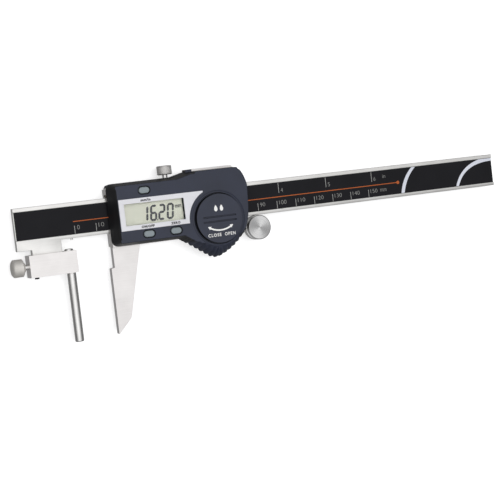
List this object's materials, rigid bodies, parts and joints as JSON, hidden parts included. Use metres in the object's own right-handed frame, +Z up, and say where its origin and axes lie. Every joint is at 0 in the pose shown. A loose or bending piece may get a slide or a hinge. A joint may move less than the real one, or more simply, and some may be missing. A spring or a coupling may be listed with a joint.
{
  "type": "digital tube wall caliper",
  "caption": "Digital caliper for tube walls: a steel beam with a round anvil rod in a clamp block, and a slider with a flat jaw, display housing and thumb roller.",
  "frame": {"origin": "middle of the object's footprint, on the surface it lies on", "axes": "+X along the beam away from the fixed anvil, -Y the way the jaws reach, +Z up out of the display; the caliper lies on its back"},
  "size_m": [0.2538, 0.0744, 0.0154],
  "materials": {
    "stainless_steel": "satin, fine ground",
    "brass": "plain",
    "blackened_steel": "black oxide",
    "housing_plastic": "moulded, fine grain",
    "label_film": "satin printed film",
    "circuit_board": "solder mask",
    "black_rubber": "moulded",
    "bezel_silver": "silver printed film",
    "clear_window": "clear, polished",
    "display_panel": "liquid crystal panel",
    "button_rubber": "silicone, matte"
  },
  "bodies": {
    "beam": {"beam": "stainless_steel", "scale_stator": "circuit_board", "scale_label": "label_film", "zero_stop_pin": "stainless_steel", "end_stop_plate": "stainless_steel", "end_stop_screw_1": "stainless_steel", "end_stop_screw_2": "stainless_steel", "anvil_block": "stainless_steel", "block_set_screw": "blackened_steel", "anvil_rod": "stainless_steel"},
    "clamp": {"clamp_screw": "stainless_steel", "clamp_knob": "stainless_steel"},
    "slider": {"back_plate": "stainless_steel", "back_plate_screw_1": "stainless_steel", "back_plate_screw_2": "stainless_steel", "back_plate_screw_3": "stainless_steel", "back_plate_screw_4": "stainless_steel", "battery_cell": "stainless_steel", "battery_contact_negative": "brass", "battery_contact_positive": "brass", "battery_seal_ring": "black_rubber", "display_bezel": "bezel_silver", "display_window": "clear_window", "gib_screw_1": "blackened_steel", "gib_screw_2": "blackened_steel", "gib_strip": "brass", "housing_screw_1": "stainless_steel", "housing_screw_2": "stainless_steel", "housing_screw_3": "stainless_steel", "housing_shell": "housing_plastic", "lcd_connector_lower": "black_rubber", "lcd_connector_upper": "black_rubber", "lcd_glass": "display_panel", "lcd_holder": "black_rubber", "lock_pad": "brass", "main_board": "circuit_board", "roller_axle": "stainless_steel", "roller_bracket": "blackened_steel", "roller_bracket_screw": "stainless_steel", "sensor_board": "circuit_board", "slider_frame": "stainless_steel", "switch_power": "brass", "switch_units": "brass", "switch_zero": "brass", "wiper_left": "black_rubber", "wiper_right": "black_rubber"},
    "cover": {"battery_cover": "housing_plastic"},
    "units_button": {"button_units": "button_rubber"},
    "power_button": {"button_power": "button_rubber"},
    "zero_button": {"button_zero": "button_rubber"},
    "lock": {"lock_screw": "stainless_steel", "lock_knob": "stainless_steel"},
    "roller": {"thumb_roller": "stainless_steel"}
  },
  "joints": [
    {"name": "slider_travel", "type": "slide", "parent": "beam", "child": "slider", "axis": [1, 0, 0], "range_m": [-0.01618, 0.1338]},
    {"name": "roller_spin", "type": "hinge", "parent": "slider", "child": "roller", "pos_m": [-0.00825, 0.00347, 0.0041], "axis": [0, 0, 1], "continuous": true},
    {"name": "lock_screw_turn", "type": "hinge", "parent": "slider", "child": "lock", "pos_m": [-0.05085, 0.03433, 0.0041], "axis": [0, 1, 0], "range_deg": [0, 180]},
    {"name": "clamp_screw_turn", "type": "hinge", "parent": "beam", "child": "clamp", "pos_m": [-0.12465, -0.00103, 0.0041], "axis": [-1, 0, 0], "range_deg": [0, 360]},
    {"name": "battery_cover_turn", "type": "hinge", "parent": "slider", "child": "cover", "pos_m": [-0.03045, 0.01022, 0.0131], "axis": [0, 0, 1], "range_deg": [0, 60]},
    {"name": "units_button_press", "type": "slide", "parent": "slider", "child": "units_button", "axis": [0, 0, -1], "range_m": [0, 0.0005], "stiffness_N_per_m": 400},
    {"name": "power_button_press", "type": "slide", "parent": "slider", "child": "power_button", "axis": [0, 0, -1], "range_m": [0, 0.0005], "stiffness_N_per_m": 400},
    {"name": "zero_button_press", "type": "slide", "parent": "slider", "child": "zero_button", "axis": [0, 0, -1], "range_m": [0, 0.0005], "stiffness_N_per_m": 400}
  ],
  "couplings": [
    {"joint": "roller_spin", "follows": "slider_travel", "rad_per_m": 170.94}
  ]
}
